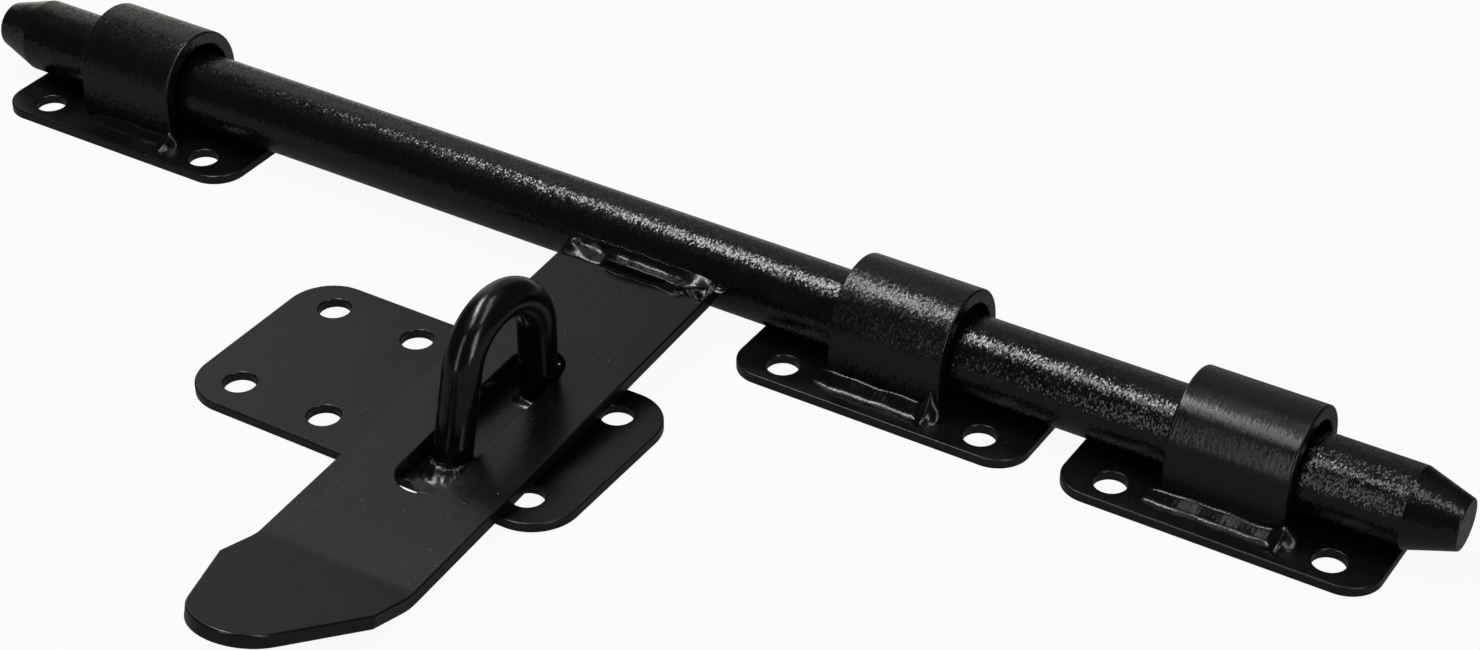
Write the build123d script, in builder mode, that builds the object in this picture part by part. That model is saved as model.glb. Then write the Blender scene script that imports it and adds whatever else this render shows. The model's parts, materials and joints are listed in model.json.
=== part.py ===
"""Sliding bar bolt with a slotted hasp strap over a staple, welded from steel bar, strip and plate.

Sizes are in millimetres. The door's face is z = 0, X runs along the bar, and the strap reaches out
along -Y. The origin is the centre of the middle guide's four holes, on the door's face.
"""
import math
import os

from build123d import *

# Round bar, turned to a cone at both ends, each end overhanging the centre of its outer guide
rod_diameter = 25.0
rod_length = 536.5
rod_right_overhang = 65.1
rod_left_overhang = 65.5
rod_cone_length = 15.0
rod_end_diameter = 15.6
rod_edge_round = 0.6
rod_lift = 0.3

# Plates of the three guides, each with four screw holes
plate_thickness = 3.0
plate_edge_round = 0.5
guide_spacing = 110.5
guide_plate_length = 99.0
guide_plate_width = 57.0
guide_corner_radius = 10.6
guide_hole_diameter = 10.2
guide_hole_spacing_x = 67.8
guide_hole_spacing_y = 38.2

# Saddles, bent from strip into an arch with upright sides
saddle_length = 38.0
saddle_wall = 4.5
saddle_side_clearance = 1.0
saddle_height = 36.0
saddle_edge_round = 0.7

# Plate of the staple: four corner holes and a second column near its left end
staple_plate_shift_x = -26.1
staple_plate_shift_y = 0.9
staple_plate_length = 136.6
staple_plate_width = 71.4
staple_corner_radius = 15.0
staple_hole_diameter = 10.2
staple_hole_spacing_x = 106.0
staple_hole_spacing_y = 46.4
staple_inner_column = 32.0

# Staple, bent from round bar, its back leg upright and its front leg leaning out
staple_bar_diameter = 12.0
staple_height = 51.5
staple_bend_radius = 17.6
staple_span = 41.6
staple_shift = 0.5
staple_reach = 91.1
staple_turn = 3.0

# Slotted strap, welded to the front of the bar, its far end bent up to a rounded nose
strap_x = -90.0
strap_width = 54.0
strap_thickness = 4.4
strap_edge_round = 0.6
strap_below_axis = 0.2
strap_rest_gap = 0.05
strap_rod_gap = 0.06
strap_flat_length = 154.6
strap_bend_radius = 13.0
nose_rise_angle = 16.0
nose_length = 51.3
nose_taper_length = 37.6
nose_radius = 16.5
slot_shift = -0.3
slot_side_clearance = 2.7
slot_front_clearance = 15.4
slot_back_clearance = 3.9

# Weld beads
guide_bead_radius = 4.5
guide_bead_overrun = 4.5
handle_bead_radius = 4.3
handle_bead_rod_gap = 0.04
handle_bead_ahead = 1.2
handle_bead_rise = 0.4
handle_bead_middle = (-6.2, 13.5)
handle_bead_step = 3.3
handle_bead_past_edge = 0.2
staple_bead_radius = 4.9
staple_bead_length = 8.0
staple_bead_sink = 0.9

# Derived places
rod_radius = rod_diameter / 2
rod_height = plate_thickness + rod_lift + rod_radius
rod_right_end = guide_spacing + rod_right_overhang
rod_left_end = rod_right_end - rod_length
guide_centres = {"left": rod_left_end + rod_left_overhang, "middle": 0.0, "right": guide_spacing}
saddle_inner_radius = rod_radius + saddle_side_clearance
saddle_outer_radius = saddle_inner_radius + saddle_wall
saddle_arch_height = saddle_height - saddle_outer_radius
staple_x = strap_x + staple_shift
staple_y = -staple_reach
staple_plate_x = staple_x + staple_plate_shift_x
staple_plate_y = staple_y + staple_plate_shift_y

os.makedirs("parts", exist_ok=True)


def save(part, name):
    """Labels a finished piece and writes it under its own name."""
    part.label = name
    export_step(part, f"parts/{name}.step")


def pill(start, end, radius):
    """Adds a round-ended bar from start to end to the piece being built."""
    way = Vector(*end) - Vector(*start)
    with Locations(start, end):
        Sphere(radius)
    with Locations(Plane(origin=start, z_dir=way)):
        Cylinder(radius, way.length, align=(Align.CENTER, Align.CENTER, Align.MIN))


# Bar
rod_axis = Axis((0, 0, rod_height), (1, 0, 0))
with BuildPart() as bolt_rod:
    with BuildSketch(Plane(origin=rod_axis.position, x_dir=(1, 0, 0), z_dir=(0, -1, 0))) as rod_half:
        with BuildLine():
            Polyline(
                (rod_left_end, 0),
                (rod_left_end, rod_end_diameter / 2),
                (rod_left_end + rod_cone_length, rod_radius),
                (rod_right_end - rod_cone_length, rod_radius),
                (rod_right_end, rod_end_diameter / 2),
                (rod_right_end, 0),
                close=True,
            )
        make_face()
        off_axis = rod_half.vertices().filter_by(lambda corner: corner.Y > rod_edge_round)
        fillet(off_axis, rod_edge_round)
    revolve(axis=rod_axis)
save(bolt_rod.part, "bolt_rod")

# Guides: a plate, a saddle, and a weld bead along each of the saddle's feet
for side, centre_x in guide_centres.items():
    with BuildPart() as guide_plate:
        with BuildSketch(Plane((centre_x, 0, 0))):
            RectangleRounded(guide_plate_length, guide_plate_width, guide_corner_radius)
            with GridLocations(guide_hole_spacing_x, guide_hole_spacing_y, 2, 2):
                Circle(guide_hole_diameter / 2, mode=Mode.SUBTRACT)
        extrude(amount=plate_thickness)
        fillet(guide_plate.edges().group_by(Axis.Z)[-1], plate_edge_round)
    save(guide_plate.part, f"guide_{side}_plate")

    with BuildPart() as guide_saddle:
        with BuildSketch(Plane.YZ.offset(centre_x)):
            with BuildLine():
                outside = CenterArc((0, saddle_arch_height), saddle_outer_radius, 0, 180)
                inside = CenterArc((0, saddle_arch_height), saddle_inner_radius, 0, 180)
                Polyline(
                    outside @ 1,
                    (-saddle_outer_radius, plate_thickness),
                    (-saddle_inner_radius, plate_thickness),
                    inside @ 1,
                )
                Polyline(
                    inside @ 0,
                    (saddle_inner_radius, plate_thickness),
                    (saddle_outer_radius, plate_thickness),
                    outside @ 0,
                )
            make_face()
        extrude(amount=saddle_length / 2, both=True)
        rims = guide_saddle.edges().group_by(Axis.X)
        above_feet = (rims[0] + rims[-1]).filter_by(lambda rim: rim.center().Z > plate_thickness + saddle_wall / 2)
        fillet(above_feet, saddle_edge_round)
    save(guide_saddle.part, f"guide_{side}_saddle")

    bead_half = saddle_length / 2 + guide_bead_overrun - guide_bead_radius
    trim = 3 * guide_bead_radius
    for face, away in (("front", -1), ("back", 1)):
        foot = (centre_x, away * saddle_outer_radius, plate_thickness)
        with BuildPart() as guide_weld:
            pill((centre_x - bead_half, *foot[1:]), (centre_x + bead_half, *foot[1:]), guide_bead_radius)
            with BuildSketch(Plane(origin=foot, x_dir=(0, away, 0), z_dir=(away, 0, 0))):
                with BuildLine():
                    Polyline((0, 0), (trim, 0), (trim, -trim), (-trim, -trim), (-trim, trim), (0, trim), close=True)
                make_face()
            extrude(amount=saddle_length, both=True, mode=Mode.SUBTRACT)
        save(guide_weld.part, f"guide_{side}_weld_{face}")

# Staple plate
with BuildPart() as staple_plate:
    with BuildSketch(Plane((staple_plate_x, staple_plate_y, 0))):
        RectangleRounded(staple_plate_length, staple_plate_width, staple_corner_radius)
        with GridLocations(staple_hole_spacing_x, staple_hole_spacing_y, 2, 2):
            Circle(staple_hole_diameter / 2, mode=Mode.SUBTRACT)
        with Locations((staple_inner_column - staple_hole_spacing_x / 2, 0)):
            with GridLocations(0, staple_hole_spacing_y, 1, 2):
                Circle(staple_hole_diameter / 2, mode=Mode.SUBTRACT)
    extrude(amount=plate_thickness)
    fillet(staple_plate.edges().group_by(Axis.Z)[-1], plate_edge_round)
save(staple_plate.part, "staple_plate")

# Staple: its back leg is tangent to the bend and upright, its front leg runs from the bend to its foot
staple_radius = staple_bar_diameter / 2
bend_along = staple_span / 2 - staple_bend_radius
bend_height = staple_height - staple_radius - staple_bend_radius
foot_along = staple_span / 2 + bend_along
foot_drop = bend_height - plate_thickness
front_lean = math.degrees(
    math.atan2(foot_along, foot_drop) - math.asin(staple_bend_radius / math.hypot(foot_along, foot_drop))
)
turn = math.radians(staple_turn)
staple_way = Vector(math.sin(turn), math.cos(turn), 0)
staple_plane = Plane(
    origin=(staple_x, staple_y, 0), x_dir=staple_way, z_dir=(math.cos(turn), -math.sin(turn), 0)
)
with BuildPart() as staple_loop:
    with BuildLine(staple_plane) as staple_line:
        bend = CenterArc((bend_along, bend_height), staple_bend_radius, 0, 180 - front_lean)
        Line(bend @ 0, (staple_span / 2, 0))
        lean = math.tan(math.radians(front_lean))
        Line(bend @ 1, (-staple_span / 2 - plate_thickness * lean, 0))
    back_foot = staple_plane.from_local_coords((staple_span / 2, 0, 0))
    with BuildSketch(Plane(origin=back_foot, z_dir=(0, 0, 1))):
        Circle(staple_radius)
    sweep(path=staple_line.wire())
    split(bisect_by=Plane.XY.offset(plate_thickness), keep=Keep.TOP)
save(staple_loop.part, "staple_loop")

# Weld beads in front of the staple's legs, narrower than the bar so that the strap clears them
for leg, along in (("front", -staple_span / 2), ("back", staple_span / 2)):
    centre = staple_plane.from_local_coords((along, 0, 0)) + Vector(0, 0, plate_thickness - staple_bead_sink)
    tip = centre - staple_way * (staple_radius + staple_bead_length - staple_bead_radius)
    with BuildPart() as staple_weld:
        pill(tuple(centre), tuple(tip), staple_bead_radius)
        split(bisect_by=Plane.XY.offset(plate_thickness), keep=Keep.TOP)
        add(staple_loop.part, mode=Mode.SUBTRACT)
    save(staple_weld.part, f"staple_weld_{leg}")

# Strap: its top starts level with the bar's front, and its underside rests on the staple plate's near edge
strap_start = (-(rod_radius + strap_rod_gap), rod_height - strap_below_axis)
rest_run = strap_start[0] - (staple_plate_y - staple_plate_width / 2)
rest_fall = strap_start[1] - (plate_thickness + strap_rest_gap)
strap_slope = math.degrees(
    math.atan2(rest_fall, rest_run) - math.asin(strap_thickness / math.hypot(rest_run, rest_fall))
)
with BuildPart() as handle_strap:
    with BuildLine(Plane.YZ.offset(strap_x)) as strap_line:
        flat = PolarLine(strap_start, strap_flat_length, 180 + strap_slope)
        curl = JernArc(flat @ 1, flat % 1, strap_bend_radius, -(strap_slope + nose_rise_angle))
        PolarLine(curl @ 1, nose_length, 180 - nose_rise_angle)
    strap_path = strap_line.wire()
    with BuildSketch(Plane(origin=strap_path @ 0, x_dir=(1, 0, 0), z_dir=strap_path % 0)):
        with Locations((0, -strap_thickness / 2)):
            Rectangle(strap_width, strap_thickness)
    sweep(path=strap_path)

    nose_plane = Plane(origin=strap_path @ 1, x_dir=(1, 0, 0), z_dir=(strap_path % 1).cross(Vector(1, 0, 0)))
    with BuildSketch(nose_plane):
        with Locations((0, nose_radius)):
            Circle(nose_radius)
        with Locations((0, nose_taper_length)):
            Rectangle(strap_width, 2 * strap_flat_length, align=(Align.CENTER, Align.MIN))
        make_hull()
    extrude(amount=strap_flat_length, both=True, mode=Mode.INTERSECT)

    slot_width = staple_bar_diameter + 2 * slot_side_clearance
    slot_near = staple_y - staple_span / 2 - staple_radius - slot_front_clearance
    slot_far = staple_y + staple_span / 2 + staple_radius + slot_back_clearance
    slope = math.radians(strap_slope)
    slot_middle = (strap_start[0] - (slot_near + slot_far) / 2) / math.cos(slope)
    slot_length = (slot_far - slot_near) / math.cos(slope)
    slot_centre = flat @ (slot_middle / strap_flat_length) + Vector(slot_shift, 0, 0)
    slot_plane = Plane(origin=slot_centre, x_dir=flat % 0, z_dir=(flat % 0).cross(Vector(1, 0, 0)))
    with BuildSketch(slot_plane):
        SlotOverall(slot_length, slot_width)
    extrude(amount=2 * strap_thickness, both=True, mode=Mode.SUBTRACT)

    weld_end = strap_start[0] - strap_thickness
    outlines = handle_strap.edges().filter_by(lambda edge: abs((edge % 0.5).Z) < 0.5 and edge.center().Y < weld_end)
    fillet(outlines, strap_edge_round)
save(handle_strap.part, "handle_strap")

# Weld beads between the strap's top and the bar: the middle run, then one run on either side against its end
bead_y = strap_start[0] - handle_bead_ahead
bead_z = strap_start[1] + handle_bead_rise
strap_across = Plane(origin=(strap_x, *strap_start), x_dir=(1, 0, 0), z_dir=slot_plane.z_dir)
handle_bead_spans = {
    "middle": handle_bead_middle,
    "left": (handle_bead_radius - strap_width / 2, handle_bead_middle[0] - handle_bead_step),
    "right": (handle_bead_middle[1] + handle_bead_step, strap_width / 2 + handle_bead_past_edge),
}
laid = []
for name, (low, high) in handle_bead_spans.items():
    with BuildPart() as handle_weld:
        pill((strap_x + low, bead_y, bead_z), (strap_x + high, bead_y, bead_z), handle_bead_radius)
        with Locations(strap_across):
            Box(strap_width, 4 * rod_radius, 2 * rod_radius, align=(Align.CENTER, Align.CENTER, Align.MAX),
                mode=Mode.SUBTRACT)
        with Locations(Plane(origin=(strap_x, 0, rod_height), z_dir=(1, 0, 0))):
            Cylinder(rod_radius + handle_bead_rod_gap, 2 * strap_width, mode=Mode.SUBTRACT)
        add(laid, mode=Mode.SUBTRACT)
    laid.append(handle_weld.part)
    save(handle_weld.part, f"handle_weld_{name}")
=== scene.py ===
"""Finish of the door bolt: black enamel over bar, strip, plate and weld metal, in soft studio light."""
import json
import math

import bmesh
import bpy
import numpy as np
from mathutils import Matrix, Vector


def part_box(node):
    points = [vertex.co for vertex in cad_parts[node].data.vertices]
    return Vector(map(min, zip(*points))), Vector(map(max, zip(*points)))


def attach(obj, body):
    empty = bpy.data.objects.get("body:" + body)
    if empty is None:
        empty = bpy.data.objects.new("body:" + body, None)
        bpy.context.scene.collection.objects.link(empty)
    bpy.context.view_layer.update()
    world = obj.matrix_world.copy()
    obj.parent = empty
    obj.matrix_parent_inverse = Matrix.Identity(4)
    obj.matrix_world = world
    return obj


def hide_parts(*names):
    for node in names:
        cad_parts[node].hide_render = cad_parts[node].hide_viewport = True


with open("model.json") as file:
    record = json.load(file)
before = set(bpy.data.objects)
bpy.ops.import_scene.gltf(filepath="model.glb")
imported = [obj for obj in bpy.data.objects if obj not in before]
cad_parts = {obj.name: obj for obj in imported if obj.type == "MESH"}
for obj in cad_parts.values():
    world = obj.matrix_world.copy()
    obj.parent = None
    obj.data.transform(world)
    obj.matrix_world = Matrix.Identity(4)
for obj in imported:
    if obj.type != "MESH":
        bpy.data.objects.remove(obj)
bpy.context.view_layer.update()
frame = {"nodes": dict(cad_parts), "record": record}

MM = 0.001
FULL_TURN = 2 * math.pi

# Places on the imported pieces, in metres
bar_low, bar_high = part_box("bolt_rod")
strap_low, strap_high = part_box("handle_strap")
BAR_RADIUS = (bar_high.y - bar_low.y) / 2
BAR_HEIGHT = (bar_high.z + bar_low.z) / 2
PLATE_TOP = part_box("guide_middle_plate")[1].z
SADDLE_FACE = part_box("guide_middle_saddle")[1].y
STRAP_X = (strap_low.x + strap_high.x) / 2
# The strap's top starts at the front of the bar, just under the bar's middle, and falls away from it
STRAP_TOP = BAR_HEIGHT - 0.2 * MM
STRAP_SLOPE = math.radians(4.09)


def linear(hex_colour):
    """Turns an sRGB hex colour into linear red, green, blue and alpha."""
    channels = [int(hex_colour[i:i + 2], 16) / 255 for i in (0, 2, 4)]
    return [c / 12.92 if c <= 0.04045 else ((c + 0.055) / 1.055) ** 2.4 for c in channels] + [1.0]


def per_metre(millimetres):
    """Texture scale whose features are that many millimetres apart."""
    return 1 / (millimetres * MM)


def node(tree, kind, settings=None, links=None):
    """Adds a shader node, sets its properties and inputs, and links its inputs to other sockets."""
    made = tree.nodes.new(kind)
    for key, value in (settings or {}).items():
        if isinstance(key, str) and hasattr(made, key):
            setattr(made, key, value)
        else:
            made.inputs[key].default_value = value
    for key, socket in (links or {}).items():
        tree.links.new(socket, made.inputs[key])
    return made


# Materials

# A Mix node's sockets go by number: its factor, its two numbers, its two colours, and what it gives
FACTOR = 0
NUMBER_A, NUMBER_B = 2, 3
COLOUR_A, COLOUR_B = 6, 7
MIXED_NUMBER = 0
MIXED_COLOUR = 2

# Enamel is resin, so it is no metal and bends light by about this much
ENAMEL_IOR = 1.5
NOISE_ROUGHNESS = 0.55
# The enamel goes from its glossiest to its dullest while the noise of its patches goes between these
PATCH_START, PATCH_END = 0.35, 0.65
# How high a grain of dust lifts the paint, in mm
SPECK_HEIGHT = 0.12


def bumped(tree, place, relief):
    """Stacks bumps and gives the normal of the last.

    Each bump is (size in mm across x, y and z, height in mm, detail of the noise).
    """
    normal = None
    for (size_x, size_y, size_z), height, detail in relief:
        stretch = (per_metre(size_x), per_metre(size_y), per_metre(size_z))
        spot = node(tree, "ShaderNodeMapping", {"Scale": stretch}, {"Vector": place})
        noise = node(tree, "ShaderNodeTexNoise",
                     {"Scale": 1.0, "Detail": detail, "Roughness": NOISE_ROUGHNESS},
                     {"Vector": spot.outputs["Vector"]})
        links = {"Height": noise.outputs["Fac"]}
        if normal is not None:
            links["Normal"] = normal
        bump = node(tree, "ShaderNodeBump", {"Strength": 1.0, "Distance": height * MM}, links)
        normal = bump.outputs["Normal"]
    return normal


def grained(tree, place, normal, grain):
    """Leans the surface a way of its own in each grain, so that light breaks into flecks, dark ones between.

    grain is three pairs: the grains' size in mm along x and across it, the lean on the left and on the
    right, and the two places along x in mm between which one lean turns into the other.
    """
    (along, across), (left_lean, right_lean), (start, end) = grain
    stretch = (per_metre(along), per_metre(across), per_metre(across))
    spot = node(tree, "ShaderNodeMapping", {"Scale": stretch}, {"Vector": place})
    cells = node(tree, "ShaderNodeTexVoronoi", {"feature": "F1", "Scale": 1.0},
                 {"Vector": spot.outputs["Vector"]})
    way = node(tree, "ShaderNodeVectorMath", {"operation": "SUBTRACT", 1: (0.5, 0.5, 0.5)},
               {0: cells.outputs["Color"]})
    x = node(tree, "ShaderNodeSeparateXYZ", {}, {0: place}).outputs["X"]
    much = node(tree, "ShaderNodeMapRange",
                {"From Min": start * MM, "From Max": end * MM, "To Min": left_lean, "To Max": right_lean},
                {"Value": x})
    leaning = node(tree, "ShaderNodeVectorMath", {"operation": "SCALE"},
                   {0: way.outputs[0], "Scale": much.outputs["Result"]})
    added = node(tree, "ShaderNodeVectorMath", {"operation": "ADD"}, {0: leaning.outputs[0], 1: normal})
    whole = node(tree, "ShaderNodeVectorMath", {"operation": "NORMALIZE"}, {0: added.outputs[0]})
    return whole.outputs[0]


def enamel(name, shades, gloss, patch, relief, grain=None, specks=None):
    """Black enamel: two close shades in soft patches, roughness that goes with them, relief, grain, specks.

    gloss is the roughness of the glossiest and the dullest patches, and patch their size in mm. specks is
    (spacing in mm, radius as a share of it, roughness there): dust under the paint, each grain a dull bump.
    """
    material = bpy.data.materials.new(name)
    material.use_nodes = True
    tree = material.node_tree
    tree.nodes.clear()
    place = node(tree, "ShaderNodeTexCoord").outputs["Object"]
    patches = node(tree, "ShaderNodeTexNoise", {"Scale": per_metre(patch), "Detail": 3.0}, {"Vector": place})
    colour = node(tree, "ShaderNodeMix",
                  {"data_type": "RGBA", COLOUR_A: linear(shades[0]), COLOUR_B: linear(shades[1])},
                  {FACTOR: patches.outputs["Fac"]})
    rough = node(tree, "ShaderNodeMapRange",
                 {"From Min": PATCH_START, "From Max": PATCH_END, "To Min": gloss[0], "To Max": gloss[1]},
                 {"Value": patches.outputs["Fac"]})
    roughness = rough.outputs["Result"]
    normal = bumped(tree, place, relief)
    if grain:
        normal = grained(tree, place, normal, grain)
    if specks:
        spacing, radius, speck_roughness = specks
        cells = node(tree, "ShaderNodeTexVoronoi", {"feature": "F1", "Scale": per_metre(spacing)},
                     {"Vector": place})
        dust = node(tree, "ShaderNodeMapRange",
                    {"From Min": radius, "From Max": 0.0, "To Min": 0.0, "To Max": 1.0},
                    {"Value": cells.outputs["Distance"]})
        lifted = node(tree, "ShaderNodeBump", {"Strength": 1.0, "Distance": SPECK_HEIGHT * MM},
                      {"Height": dust.outputs["Result"], "Normal": normal})
        normal = lifted.outputs["Normal"]
        dulled = node(tree, "ShaderNodeMix", {"data_type": "FLOAT", NUMBER_B: speck_roughness},
                      {FACTOR: dust.outputs["Result"], NUMBER_A: roughness})
        roughness = dulled.outputs[MIXED_NUMBER]
    shader = node(tree, "ShaderNodeBsdfPrincipled", {"Metallic": 0.0, "IOR": ENAMEL_IOR},
                  {"Base Color": colour.outputs[MIXED_COLOUR], "Roughness": roughness, "Normal": normal})
    node(tree, "ShaderNodeOutputMaterial", {}, {"Surface": shader.outputs["BSDF"]})
    return material


FINISH = {
    # Gloss enamel over hot-rolled bar: the scale's pits under the paint break the highlight into fine
    # flecks, on soft waves 6 mm across. Real pits are about 0.3 mm wide, and are drawn up to twice that so
    # that they show.
    "bar_enamel": enamel(
        "gloss_enamel_on_pitted_bar", ("0a0706", "0e0a08"), gloss=(0.12, 0.18), patch=9,
        relief=[((6, 6, 6), 0.05, 1.0)],
        grain=((0.4, 0.62), (0.185, 0.185), (0, 1))),
    # Gloss enamel over bent strip: rolling lines about 1 mm apart run round the bend and comb the
    # highlight, and pits fleck it as on the bar. The right-hand saddle is nearly free of pits.
    "saddle_enamel": enamel(
        "gloss_enamel_on_bent_strip", ("0a0807", "0e0b0a"), gloss=(0.20, 0.27), patch=12,
        relief=[((0.9, 3.0, 3.0), 0.06, 2.0), ((9, 9, 9), 0.06, 1.0)],
        grain=((0.5, 0.65), (0.17, 0.04), (40, 80))),
    # Satin enamel over sheet: a soft even sheen, with the paint's orange peel about 2 mm from hill to hill
    # and grains of dust in it. Real dust is about 0.3 mm wide, and is drawn wider so that it shows.
    "plate_enamel": enamel(
        "satin_enamel_on_plate", ("0a0807", "0f0c0a"), gloss=(0.24, 0.33), patch=15,
        relief=[((1.8, 1.8, 1.8), 0.05, 2.0), ((14, 14, 14), 0.08, 1.0)],
        specks=(4.2, 0.10, 0.4)),
    # Satin enamel over flat bar: as the plates, a little smoother and flatter
    "strap_enamel": enamel(
        "satin_enamel_on_flat_bar", ("0b0908", "100d0a"), gloss=(0.19, 0.26), patch=18,
        relief=[((2.0, 2.0, 2.0), 0.04, 2.0), ((20, 20, 20), 0.08, 1.0)],
        specks=(5.0, 0.09, 0.4)),
    # Gloss enamel over bright drawn bar: smooth, with clear streaks of light
    "staple_enamel": enamel(
        "gloss_enamel_on_drawn_bar", ("0b0706", "0e0a08"), gloss=(0.13, 0.20), patch=10,
        relief=[((1.6, 1.6, 1.6), 0.04, 2.0), ((7, 7, 7), 0.06, 1.0)]),
    # Gloss enamel that has run over weld metal: wet, with small sharp glints off ripples 1 to 2 mm apart
    "weld_enamel": enamel(
        "gloss_enamel_on_weld", ("0a0706", "100b08"), gloss=(0.16, 0.25), patch=4,
        relief=[((1.1, 1.1, 1.1), 0.05, 1.0), ((2.4, 2.4, 2.4), 0.08, 1.0)]),
}

for part in frame["record"]["subparts"]:
    frame["nodes"][part["node"]].material_slots[0].material = FINISH[part["material_slot"]]


# Weld beads. All their lengths are in mm until they are made a mesh.

# Soft lumps are this many waves, each of these many times the asked length at the least and at the most
WAVES = 6
SHORTEST, LONGEST = 0.7, 1.4
# A bead's underside lies this far down in the plate. Its skin sits a little low as well, so that its thin
# toe ends in the plate.
UNDERSIDE = -0.5
GUIDE_SUNK = 0.15
FOOT_SUNK = 0.14


def wander(along, seed, lengths, swing):
    """A wandering value: the mean of sines of these wavelengths, each with a seeded phase, times swing."""
    phases = np.random.default_rng(seed).uniform(0, FULL_TURN, len(lengths))
    waves = [np.sin(FULL_TURN * along / length + phase) for length, phase in zip(lengths, phases)]
    return swing * sum(waves) / len(lengths)


def mottle(x, y, seed, length, swing):
    """A surface of soft lumps: the mean of six sine waves of about that length, times swing.

    The waves cross at seeded angles, with seeded phases and a seeded stretch of each length.
    """
    rng = np.random.default_rng(seed)
    turns = rng.uniform(0, math.pi, WAVES)
    phases = rng.uniform(0, FULL_TURN, WAVES)
    stretches = rng.uniform(SHORTEST, LONGEST, WAVES)
    total = 0.0
    for turn, phase, stretch in zip(turns, phases, stretches):
        across_waves = x * math.cos(turn) + y * math.sin(turn)
        total = total + np.sin(FULL_TURN * across_waves / (length * stretch) + phase)
    return swing * total / WAVES


def lumpy(x, y, seed, coarse, fine):
    """Coarse and fine soft lumps added up, each given as (length, swing)."""
    return mottle(x, y, seed, *coarse) + mottle(x, y, seed + 1, *fine)


def hump(place, centre, width):
    """A bell of height 1: e to the power of minus the square of (distance from the centre / width)."""
    return np.exp(-((place - centre) / width) ** 2)


def mound(along, across, height, centre, widths):
    """A bell over a place, or a dent if its height is under 0: the height times a hump each way."""
    return height * (hump(along, centre[0], widths[0]) * hump(across, centre[1], widths[1]))


def rounded_ends(along, start, end, first, last):
    """1 along a bead, and a quarter ellipse down to nothing over its first and its last stretch."""
    rise = np.clip((along - start) / first, 0, 1)
    fall = np.clip((end - along) / last, 0, 1)
    return np.sqrt(rise * (2 - rise)) * np.sqrt(fall * (2 - fall))


def weld_skin(name, points, stands_for, body):
    """Joins rings of points (ring, point, xyz) in metres into a closed skin, in place of packed welds.

    Neighbouring rings are joined by quads, and each end ring is closed by a fan to its own middle.
    """
    rings, around = points.shape[:2]
    ends = np.stack([points[0].mean(0), points[-1].mean(0)])
    vertices = np.concatenate([points.reshape(-1, 3), ends])
    ring, spot = np.meshgrid(np.arange(rings - 1), np.arange(around), indexing="ij")
    after = (spot + 1) % around
    quads = np.stack([ring * around + spot, ring * around + after,
                      (ring + 1) * around + after, (ring + 1) * around + spot], -1).reshape(-1, 4)
    spots = np.arange(around)
    turned = (spots + 1) % around
    first = np.stack([np.full(around, rings * around), turned, spots], -1)
    last_ring = (rings - 1) * around
    last = np.stack([np.full(around, rings * around + 1), last_ring + spots, last_ring + turned], -1)
    mesh = bpy.data.meshes.new(name)
    mesh.from_pydata(vertices.tolist(), [], quads.tolist() + first.tolist() + last.tolist())
    shell = bmesh.new()
    shell.from_mesh(mesh)
    bmesh.ops.recalc_face_normals(shell, faces=shell.faces)
    shell.to_mesh(mesh)
    shell.free()
    mesh.polygons.foreach_set("use_smooth", np.ones(len(mesh.polygons), bool))
    piece = bpy.data.objects.new(name, mesh)
    bpy.context.scene.collection.objects.link(piece)
    mesh.materials.append(FINISH["weld_enamel"])
    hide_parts(*stands_for)
    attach(piece, body)


# Each guide's run of weld, in mm from the middle of its plate: where it starts and ends, its height and
# reach, and the lump at its end as (place, width, extra height, extra reach)
GUIDE_BEADS = {
    "left": {"span": (-15.0, 23.0), "seed": 3, "height": 3.3, "reach": 2.2, "lump": (19.0, 1.7, 1.9, 1.1)},
    "middle": {"span": (-23.0, 21.2), "seed": 5, "height": 4.3, "reach": 2.6, "lump": (16.6, 1.9, 4.3, 0.5)},
    "right": {"span": (-24.0, 24.5), "seed": 8, "height": 4.0, "reach": 2.6, "lump": (19.6, 2.2, 1.8, 1.2)},
}
# The grid's points along the run and across it, and how far a back bead's seeds are above a front one's
GUIDE_GRID = (300, 72)
BACK_SEEDS = 30
# Across the run, the bead goes from inside the saddle's strip (under 0) to past its toe. Inside the strip,
# where it is hidden, it has a reach and a fullness of its own
STRIP_SIDE, TOE_SIDE = -3.4, 7.0
HIDDEN_REACH, HIDDEN_FULLNESS = 1.7, 3.0
LEAST_REACH = 0.05
# How full the bead's face is, and how much less so at its lump
FACE_FULLNESS, LUMP_LESS_FULL = 4.2, 1.8
# Each drop of the weld leaves a fine ripple, bent about the middle of the bead's face
RIPPLE_HEIGHT, RIPPLE_LENGTH = 0.010, 1.5
RIPPLE_BEND, RIPPLE_MIDDLE = 0.22, 1.5
# Where the bead is lower than this, its lumps and ripples die away
LUMPY_FROM = 1.5


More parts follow.
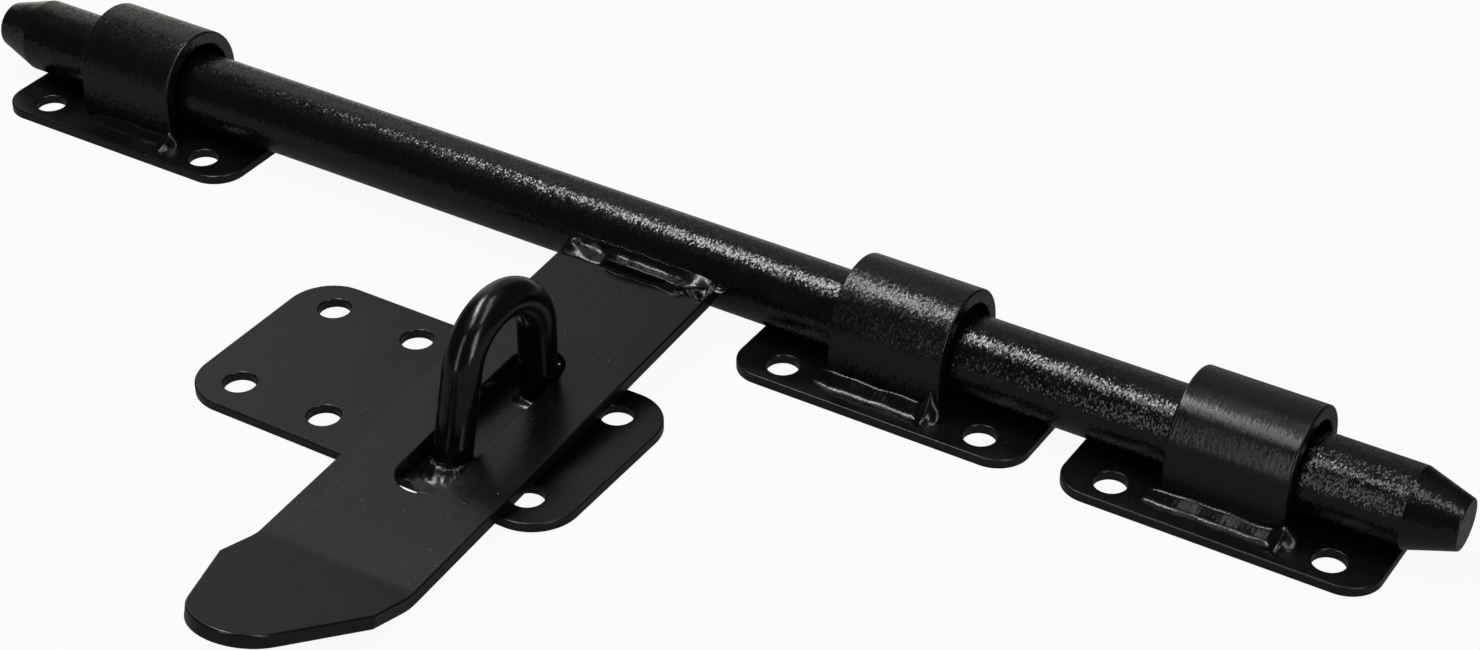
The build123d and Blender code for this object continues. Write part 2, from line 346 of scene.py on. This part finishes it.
def guide_bead(side, face):
    """A fillet weld along a saddle's foot: a height above the plate over (place along, distance from saddle).

    The height is H / (1 + (distance / reach) ^ fullness): a shoulder by the saddle, a steep face and a
    hollow toe. H and reach wander along the run, soft lumps and ripples cross it, and near its end a lump
    climbs the saddle's corner. The ripples are a sine of (place along + bend times the square of the
    distance from the face's middle).
    """
    shape = GUIDE_BEADS[side]
    away = -1 if face == "front" else 1
    seed = shape["seed"] + (0 if face == "front" else BACK_SEEDS)
    low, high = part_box(f"guide_{side}_plate")
    middle = (low.x + high.x) / 2
    start, end = shape["span"]
    along = np.linspace(start, end, GUIDE_GRID[0])[:, None]
    across = np.linspace(STRIP_SIDE, TOE_SIDE, GUIDE_GRID[1])[None, :]
    place, width, climb, spread = shape["lump"]
    lump = hump(along, place, width)
    run = rounded_ends(along, start, end, first=8.0, last=2.6)
    height = shape["height"] + wander(along, seed, lengths=(31, 14), swing=0.30) + climb * lump
    height = height * run
    reach = shape["reach"] + wander(along, seed + 1, lengths=(27, 12), swing=0.25) + spread * lump
    reach = reach * np.sqrt(run) + LEAST_REACH
    fullness = FACE_FULLNESS - LUMP_LESS_FULL * lump
    beyond = np.abs(across) / np.where(across > 0, reach, HIDDEN_REACH)
    height = height / (1 + beyond ** np.where(across > 0, fullness, HIDDEN_FULLNESS))
    soft = lumpy(along, across, seed + 2, coarse=(6.0, 0.06), fine=(1.8, 0.012))
    bent = along + RIPPLE_BEND * (across - RIPPLE_MIDDLE) ** 2
    ripple = RIPPLE_HEIGHT * np.sin(FULL_TURN * bent / RIPPLE_LENGTH)
    height = height + (soft + ripple) * np.clip(height / LUMPY_FROM, 0, 1)
    under = np.full_like(along, UNDERSIDE)
    x = np.concatenate([np.broadcast_to(along, height.shape), along, along], 1)
    y = np.concatenate([np.broadcast_to(across, height.shape),
                        np.full_like(along, TOE_SIDE), np.full_like(along, STRIP_SIDE)], 1)
    z = np.concatenate([height - GUIDE_SUNK, under, under], 1)
    points = np.stack([middle + x * MM, away * (SADDLE_FACE + y * MM), PLATE_TOP + z * MM], -1)
    weld_skin(f"bead_guide_{side}_{face}", points, [f"guide_{side}_weld_{face}"], "guides")


for side in GUIDE_BEADS:
    for face in ("front", "back"):
        guide_bead(side, face)


# The weld between strap and bar. Along it, places are in mm from the strap's middle. Across it, they are
# shares of the way from the toe on the strap to the toe on the bar.
HANDLE_GRID = (520, 72)
HANDLE_SEED = 61
# Where the whole of the run starts and ends, and where the thin tail does that goes on along the bar's side,
# with the tail's share of the whole size
HANDLE_START, HANDLE_END = -27.2, 27.6
TAIL_START, TAIL_END = 20.0, 31.8
TAIL_SIZE = 0.36
LEAST_SIZE = 0.004
# The height of the worm of metal by place along, and how it lies across
WORM_PLACES = (-11.5, -10, -8, -1, 7, 13.5, 17, 19)
WORM_HEIGHTS = (0, 1.9, 2.6, 2.9, 2.6, 2.1, 1.4, 0)
WORM_SHARE, WORM_WIDTH = 0.31, 0.18
# How deep the run is hollow, how much deeper left of the worm, and how much less deep under the cap
HOLLOW, DEEPER, LESS_DEEP = 0.95, 1.0, 0.85
# The low base by the strap: its height, and the shares over which it rises and dies away
BASE_HEIGHT, BASE_RISE, BASE_FALL = 0.25, 0.04, 0.5
# The cap: its height, its middle and half its length along, and the softness of its crease
CAP_HEIGHT, CAP_PLACE, CAP_HALF, CAP_EDGE = 1.7, 22.2, 5.4, 0.06
# The crease and the streak cross the run on a slant. Each has its share at this place along, and per mm
# towards the right the crease goes up by its slant, and the streak down.
CREASE_PLACE = 19.3
CREASE_SHARE, CREASE_SLANT = 0.26, 0.055
STREAK_SHARE, STREAK_SLANT = 0.30, 0.066
STREAK_HEIGHT = 0.7
# How far the skin stays off the bar, and how far off it the corner lies to which the ends shrink
BAR_CLEARANCE = 0.04
CORNER_CLEARANCE = 0.06
# The corner's degrees from the bar's top, and how many it climbs under the tail, from a place over a length
CORNER_AT, CORNER_CLIMB = 92.5, 14.5
CLIMB_START, CLIMB_LENGTH = 25.5, 3.0
# The toe on the strap: how far it is from the bar, and how deep it is sunk in the strap
TOE_REACH = 6.3
TOE_SUNK = 0.10
# The toe on the bar, in degrees from the bar's top, and how much higher it is left of the middle
TOP_TOE = 72.5
TOP_RISE = 1.5
# The width of the run's face
FACE_WIDTH = 7.5
# This makes share squared times (1 - share), which is 4 / 27 at its highest, reach 1
TO_FULL = 27 / 4


def handle_bead():
    """The weld between strap and bar: a hollow fillet with a proud worm of metal and a lump at each end.

    Across the run, share goes from 0 at a toe on the strap to 1 at a toe on the bar, and the points lie on
    the straight line between them. They are sunk below it by share squared times (1 - share), and pushed
    out of it by the worm's bell, by a low base by the strap and by lumps, less dents, which are all bells.
    The cap at the right-hand end is a flat bell along the run, and across it a smooth step (a hyperbolic
    tangent) up from a slanting crease, times (1 - share). All points stay outside the bar. Towards the ends
    the run shrinks to a corner at the bar's side, by quarter ellipses.
    """
    along = np.linspace(HANDLE_START, TAIL_END, HANDLE_GRID[0])[:, None]
    share = np.linspace(0, 1, HANDLE_GRID[1])[None, :]

    # The two toes, and the way out from the line between them
    toe = TOE_REACH + wander(along, HANDLE_SEED, lengths=(19, 9.7), swing=0.35)
    climb = TOP_TOE + wander(along, HANDLE_SEED + 1, lengths=(15, 7.3), swing=1.2)
    climb = np.radians(climb - TOP_RISE * hump(along, centre=-5, width=8))
    clear = BAR_RADIUS + BAR_CLEARANCE * MM
    toe_y = -(BAR_RADIUS + toe * MM)
    toe_z = STRAP_TOP - toe * MM * math.tan(STRAP_SLOPE) - TOE_SUNK * MM
    top_y = -clear * np.sin(climb)
    top_z = BAR_HEIGHT + clear * np.cos(climb)
    span = np.hypot(top_y - toe_y, top_z - toe_z)
    out_y = -(top_z - toe_z) / span
    out_z = (top_y - toe_y) / span

    # The hollow, the worm along it and the low base by the strap
    deeper = DEEPER * hump(along, centre=-13.8, width=3.2)
    less_deep = LESS_DEEP * hump(along, centre=22.0, width=5.0)
    sag = -(HOLLOW + deeper - less_deep) * TO_FULL * share ** 2 * (1 - share)
    worm_middle = WORM_SHARE + wander(along, HANDLE_SEED + 2, lengths=(17, 9), swing=0.015)
    worm = np.interp(along, WORM_PLACES, WORM_HEIGHTS) * hump(share, worm_middle, WORM_WIDTH)
    base = BASE_HEIGHT * (1 - np.exp(-share / BASE_RISE)) * np.exp(-share / BASE_FALL)

    # The lump at the left-hand end, with its dent
    left = mound(along, share, height=1.45, centre=(-22.8, 0.59), widths=(3.6, 0.32))
    dent = mound(along, share, height=-1.05, centre=(-21.6, 0.70), widths=(2.0, 0.14))

    # The cap at the right-hand end, with a hollow, a slanting streak and a knob at its foot
    crease = CREASE_SHARE + CREASE_SLANT * (along - CREASE_PLACE)
    cap_ends = np.exp(-((along - CAP_PLACE) / CAP_HALF) ** 4)
    cap = CAP_HEIGHT * cap_ends * (0.5 + 0.5 * np.tanh((share - crease) / CAP_EDGE)) * (1 - share)
    hollow = mound(along, share, height=-0.8, centre=(23.8, 0.16), widths=(2.6, 0.16))
    slant = share - STREAK_SHARE + (along - CREASE_PLACE) * STREAK_SLANT
    streak = STREAK_HEIGHT * hump(slant, centre=0.0, width=0.09) * hump(along, centre=21.6, width=2.4)
    knob = mound(along, share, height=0.6, centre=(26.4, 0.12), widths=(1.2, 0.14))

    soft = lumpy(along, share * FACE_WIDTH, HANDLE_SEED + 3, coarse=(4.6, 0.07), fine=(1.8, 0.012))
    soft = soft * np.sin(math.pi * share)
    proud = sag + worm + base + left + dent + cap + hollow + streak + knob + soft
    y = toe_y + share * (top_y - toe_y) + proud * MM * out_y
    z = toe_z + share * (top_z - toe_z) + proud * MM * out_z

    # The corner to which the run and its tail shrink
    corner = np.radians(CORNER_AT - CORNER_CLIMB * np.clip((along - CLIMB_START) / CLIMB_LENGTH, 0, 1))
    corner_y = -(BAR_RADIUS + CORNER_CLEARANCE * MM) * np.sin(corner)
    corner_z = BAR_HEIGHT + (BAR_RADIUS + CORNER_CLEARANCE * MM) * np.cos(corner)
    whole = rounded_ends(along, HANDLE_START, HANDLE_END, first=2.4, last=1.8)
    tail = TAIL_SIZE * rounded_ends(along, TAIL_START, TAIL_END, first=3.0, last=2.2)
    size = np.maximum(np.maximum(whole, tail), LEAST_SIZE)
    y = corner_y + (y - corner_y) * size
    z = corner_z + (z - corner_z) * size
    reach = np.hypot(y, z - BAR_HEIGHT)
    push = np.maximum(1, clear / reach)
    y = np.concatenate([y * push, corner_y], 1)
    z = np.concatenate([BAR_HEIGHT + (z - BAR_HEIGHT) * push, corner_z], 1)
    x = np.broadcast_to(along * MM + STRAP_X, y.shape)
    weld_skin("bead_handle", np.stack([x, y, z], -1),
              ["handle_weld_left", "handle_weld_middle", "handle_weld_right"], "handle")


handle_bead()


# The weld round each foot of the staple, in mm: the leg's place on the plate, how high its crumples are, and
# by direction in degrees (0 towards the front, growing towards the right) its height against the leg and its
# reach along the plate
FOOT_BEADS = {
    "front": {"leg": (-90.6, -112.0), "seed": 71, "rough": 0.18,
              "turns": (-180, -130, -90, -52, -35, 0, 40, 90, 140, 180),
              "heights": (0.6, 0.7, 0.8, 1.6, 3.0, 3.4, 2.8, 2.6, 1.2, 0.6),
              "reaches": (0.8, 0.9, 1.1, 2.1, 3.8, 5.6, 4.0, 1.9, 1.2, 0.8)},
    "rear": {"leg": (-88.5, -70.3), "seed": 77, "rough": 0.06,
             "turns": (-180, -120, -60, -20, 20, 60, 120, 180),
             "heights": (0.5, 0.6, 1.0, 1.3, 1.4, 0.9, 0.5, 0.5),
             "reaches": (0.7, 0.8, 1.3, 2.9, 3.0, 1.2, 0.7, 0.7)},
}
# Half the staple's bar
LEG_RADIUS = 6.0
# The skin starts inside the leg, this far from its middle, and ends this many reaches from its side
FOOT_START = 3.2
FOOT_REACHES = 1.9
# The grid's points outwards and round the leg
FOOT_GRID = (60, 144)
# How high the fine crumples are, as a share of the coarse ones
FINE_SHARE = 0.4
# The height is down to half at this share of the reach, and crumples die away where it is lower than this
HALF_HEIGHT_AT = 0.62
CRUMPLED_FROM = 1.2


def foot_bead(end):
    """The weld at a foot of the staple: a height above the plate over (direction, distance from the leg).

    The height is H / (1 + (distance / (0.62 reach)) ^ 3), with H and reach set by direction, and crumpled.
    """
    shape = FOOT_BEADS[end]
    turn = np.linspace(-180, 180, FOOT_GRID[1] + 1)[:-1][None, :]
    height = np.interp(turn, shape["turns"], shape["heights"])
    reach = np.interp(turn, shape["turns"], shape["reaches"])
    outward = np.linspace(0, 1, FOOT_GRID[0])[:, None]
    distance = FOOT_START + outward * (LEG_RADIUS - FOOT_START + reach * FOOT_REACHES)
    beyond = np.clip(distance - LEG_RADIUS, 0, None) / (reach * HALF_HEIGHT_AT)
    x = distance * np.sin(np.radians(turn))
    y = -distance * np.cos(np.radians(turn))
    rise = height / (1 + beyond ** 3)
    rough = shape["rough"]
    crumple = lumpy(x, y, shape["seed"], coarse=(3.0, rough), fine=(1.6, FINE_SHARE * rough))
    rise = rise + crumple * np.clip(rise / CRUMPLED_FROM, 0, 1) - FOOT_SUNK
    under = np.full((1, turn.shape[1]), UNDERSIDE)
    x = np.concatenate([x, x[-1:]])
    y = np.concatenate([y, y[-1:]])
    z = np.concatenate([rise, under])
    leg_x, leg_y = shape["leg"]
    points = np.stack([(leg_x + x) * MM, (leg_y + y) * MM, PLATE_TOP + z * MM], -1)
    side = "front" if end == "front" else "back"
    weld_skin(f"bead_staple_{end}", points, [f"staple_weld_{side}"], "guides")


for end in FOOT_BEADS:
    foot_bead(end)


# Floor, light and camera

# Panels of light in the room that gloss sees: the azimuth in degrees from +Y towards +X, how narrow the
# panel is, as a power, and its radiance. They stand behind, on the left. Elsewhere the walls are dim.
WALL_PANELS = ((-48.6, 38, 0.60), (-21, 58, 0.24))
WALL_DIM = 0.042
# How bright the ceiling is, and the sine of the elevation at which it starts and is whole
CEILING = 0.175
CEILING_START, CEILING_WHOLE = 0.68, 0.86
# The floor glows for glossy rays only: a painted glow, brighter behind on the left, that the enamel reflects
# in place of a lit room
# How bright gloss sees the floor: in front of the bar's axis, and behind it on the left and on the right
FLOOR_FRONT = 0.13
FLOOR_LEFT, FLOOR_RIGHT = 0.62, 0.05
# Where those are, in metres: x for left and right, and y from where behind starts to where it is whole
LEFT_X, RIGHT_X = -0.42, 0.12
BEHIND_START, BEHIND_WHOLE = 0.0, 0.05
# Half the floor's width
FLOOR_HALF = 6.0
# How much of the floor is glow and not lit paper, for gloss and for the camera
GLOSS_SHARE = 0.85
CAMERA_SHARE = 0.93
# The room is a little warm
ROOM_TINT = (1.0, 0.99, 0.93, 1.0)
WHITE = (1, 1, 1, 1)


def room_glow(tree, towards):
    """How bright the room is in a direction: the dim walls, plus each panel's radiance times its lobe.

    The lobe is the cosine of the angle from the panel's azimuth, raised to the panel's power.
    """
    flat = node(tree, "ShaderNodeVectorMath", {"operation": "MULTIPLY", 1: (1, 1, 0)}, {0: towards})
    heading = node(tree, "ShaderNodeVectorMath", {"operation": "NORMALIZE"}, {0: flat.outputs[0]})
    total = None
    for azimuth, power, radiance in WALL_PANELS:
        side = (math.sin(math.radians(azimuth)), math.cos(math.radians(azimuth)), 0.0)
        facing = node(tree, "ShaderNodeVectorMath", {"operation": "DOT_PRODUCT", 1: side},
                      {0: heading.outputs[0]})
        front = node(tree, "ShaderNodeMath", {"operation": "MAXIMUM", 1: 0.0}, {0: facing.outputs["Value"]})
        lobe = node(tree, "ShaderNodeMath", {"operation": "POWER", 1: power}, {0: front.outputs[0]})
        links = {0: lobe.outputs[0]}
        if total is not None:
            links[2] = total
        added = node(tree, "ShaderNodeMath", {"operation": "MULTIPLY_ADD", 1: radiance, 2: WALL_DIM}, links)
        total = added.outputs[0]
    return total


def seen_straight(tree, path):
    """1 for the camera's own rays and for those that went through something clear, 0 for all others."""
    straight = node(tree, "ShaderNodeMath", {"operation": "MAXIMUM"},
                    {0: path.outputs["Is Camera Ray"], 1: path.outputs["Is Transmission Ray"]})
    return straight.outputs[0]


def pale_floor():
    """A wide flat floor of pale paper. The camera sees it nearly white, but it keeps the soft shadow.

    Gloss sees a painted glow on it: dim, but lighter behind the bolt, where it brightens evenly towards the
    left.
    """
    corners = [(-FLOOR_HALF, -FLOOR_HALF, 0), (FLOOR_HALF, -FLOOR_HALF, 0),
               (FLOOR_HALF, FLOOR_HALF, 0), (-FLOOR_HALF, FLOOR_HALF, 0)]
    mesh = bpy.data.meshes.new("floor")
    mesh.from_pydata(corners, [], [(0, 1, 2, 3)])
    floor = bpy.data.objects.new("floor", mesh)
    bpy.context.scene.collection.objects.link(floor)
    material = bpy.data.materials.new("pale_paper")
    material.use_nodes = True
    tree = material.node_tree
    tree.nodes.clear()
    path = node(tree, "ShaderNodeLightPath")
    straight = seen_straight(tree, path)
    place = node(tree, "ShaderNodeTexCoord").outputs["Object"]
    spot = node(tree, "ShaderNodeSeparateXYZ", {}, {0: place})
    leftward = node(tree, "ShaderNodeMapRange",
                    {"From Min": RIGHT_X, "From Max": LEFT_X, "To Min": FLOOR_RIGHT, "To Max": FLOOR_LEFT},
                    {"Value": spot.outputs["X"]})
    behind = node(tree, "ShaderNodeMapRange", {"From Min": BEHIND_START, "From Max": BEHIND_WHOLE},
                  {"Value": spot.outputs["Y"]})
    # The painted glow that gloss sees on the floor, lighter behind the bolt and towards the left
    glow = node(tree, "ShaderNodeMix", {"data_type": "FLOAT", NUMBER_A: FLOOR_FRONT},
                {FACTOR: behind.outputs["Result"], NUMBER_B: leftward.outputs["Result"]})
    brightness = node(tree, "ShaderNodeMix", {"data_type": "FLOAT", NUMBER_B: 1.0},
                      {FACTOR: straight, NUMBER_A: glow.outputs[MIXED_NUMBER]})
    seen = node(tree, "ShaderNodeMath", {"operation": "MULTIPLY", 1: CAMERA_SHARE}, {0: straight})
    share = node(tree, "ShaderNodeMath", {"operation": "MULTIPLY_ADD", 1: GLOSS_SHARE},
                 {0: path.outputs["Is Glossy Ray"], 2: seen.outputs[0]})
    paper = node(tree, "ShaderNodeBsdfDiffuse", {"Color": linear("d8d8d8")})
    tint = node(tree, "ShaderNodeMix", {"data_type": "RGBA", COLOUR_A: ROOM_TINT, COLOUR_B: WHITE},
                {FACTOR: straight})
    # Emits white for the camera, and the floor's painted glow for gloss
    white = node(tree, "ShaderNodeEmission", {},
                 {"Color": tint.outputs[MIXED_COLOUR], "Strength": brightness.outputs[MIXED_NUMBER]})
    mixed = node(tree, "ShaderNodeMixShader", {},
                 {0: share.outputs[0], 1: paper.outputs["BSDF"], 2: white.outputs["Emission"]})
    node(tree, "ShaderNodeOutputMaterial", {}, {"Surface": mixed.outputs["Shader"]})
    floor.data.materials.append(material)


def studio_world():
    """White behind the object for the camera, and the room for its gloss, with a dim even ceiling."""
    world = bpy.data.worlds.new("studio")
    bpy.context.scene.world = world
    world.use_nodes = True
    tree = world.node_tree
    tree.nodes.clear()
    way = node(tree, "ShaderNodeTexCoord").outputs["Generated"]
    glow = room_glow(tree, way)
    height = node(tree, "ShaderNodeSeparateXYZ", {}, {0: way})
    up = node(tree, "ShaderNodeMapRange",
              {"interpolation_type": "SMOOTHSTEP", "From Min": CEILING_START, "From Max": CEILING_WHOLE,
               "To Min": 0.0, "To Max": 1.0},
              {"Value": height.outputs["Z"]})
    room = node(tree, "ShaderNodeMix", {"data_type": "FLOAT", NUMBER_B: CEILING},
                {FACTOR: up.outputs["Result"], NUMBER_A: glow})
    straight = seen_straight(tree, node(tree, "ShaderNodeLightPath"))
    strength = node(tree, "ShaderNodeMix", {"data_type": "FLOAT", NUMBER_B: 1.0},
                    {FACTOR: straight, NUMBER_A: room.outputs[MIXED_NUMBER]})
    tint = node(tree, "ShaderNodeMix", {"data_type": "RGBA", COLOUR_A: ROOM_TINT, COLOUR_B: WHITE},
                {FACTOR: straight})
    background = node(tree, "ShaderNodeBackground", {},
                      {"Color": tint.outputs[MIXED_COLOUR], "Strength": strength.outputs[MIXED_NUMBER]})
    node(tree, "ShaderNodeOutputWorld", {}, {"Surface": background.outputs["Background"]})


# Soft boxes: the middle, the length and the width in metres, the radiance, and the turns about X, Y and Z
# in degrees. Two hang over the left of the bolt, a bright core just under a wider box, so that the line of
# light along the bar has soft edges. A third hangs over its right, and two stand in front and at the right.
SOFT_BOXES = {
    "soft_box_core": ((-0.450, -0.051, 1.0), 0.60, 0.12, 11.6, (0, 0, -53.3)),
    "soft_box_whole": ((-0.365, -0.165, 1.001), 1.08, 0.237, 4.0, (0, 0, -53.3)),
    "second_soft_box": ((0.40, -0.08, 1.0), 1.1, 0.20, 3.0, (0, 0, -36)),
    "standing_box_right": ((1.01, -0.57, 0.42), 0.28, 0.84, 4.0, (90, 0, 67)),
    "standing_box_front": ((-0.13, -1.25, 0.60), 0.22, 1.2, 2.0, (90, 0, -6)),
}


def soft_box(name, centre, length, width, radiance, turns):
    """A rectangle of light that the camera doesn't see. Its power is radiance times pi times its area."""
    lamp = bpy.data.lights.new(name, "AREA")
    lamp.shape = "RECTANGLE"
    lamp.size = length
    lamp.size_y = width
    lamp.energy = radiance * math.pi * length * width
    holder = bpy.data.objects.new(name, lamp)
    bpy.context.scene.collection.objects.link(holder)
    holder.location = centre
    holder.rotation_euler = [math.radians(turn) for turn in turns]
    holder.visible_camera = False


# The photograph's size, the fitted focal length and the point straight ahead, all in its pixels
PHOTO_WIDTH, PHOTO_HEIGHT = 1480, 650
FOCAL_LENGTH = 3080.99
AHEAD_X, AHEAD_Y = 727.06, 337.02
SENSOR_WIDTH = 36.0
# Where the camera stands: its azimuth and elevation, its distance in metres, and the point that it aims at
AZIMUTH = math.radians(31.91)
ELEVATION = math.radians(34.94)
DISTANCE = 0.9554
AIM = (-0.05842, -0.01188, 0.0)


def camera_at_photo():
    """The camera at the photograph's angle, distance and framing."""
    way = np.array([-math.sin(AZIMUTH) * math.cos(ELEVATION), math.cos(AZIMUTH) * math.cos(ELEVATION),
                    -math.sin(ELEVATION)])
    data = bpy.data.cameras.new("camera")
    data.sensor_width = SENSOR_WIDTH
    data.lens = SENSOR_WIDTH * FOCAL_LENGTH / PHOTO_WIDTH
    data.shift_x = (PHOTO_WIDTH / 2 - AHEAD_X) / PHOTO_WIDTH
    data.shift_y = (AHEAD_Y - PHOTO_HEIGHT / 2) / PHOTO_WIDTH
    data.clip_start = 0.01
    camera = bpy.data.objects.new("camera", data)
    bpy.context.scene.collection.objects.link(camera)
    camera.location = np.array(AIM) - DISTANCE * way
    camera.rotation_euler = (math.pi / 2 - ELEVATION, 0, AZIMUTH)
    bpy.context.scene.camera = camera


pale_floor()
studio_world()
for name, settings in SOFT_BOXES.items():
    soft_box(name, *settings)
camera_at_photo()
bpy.context.scene.view_settings.view_transform = "Standard"
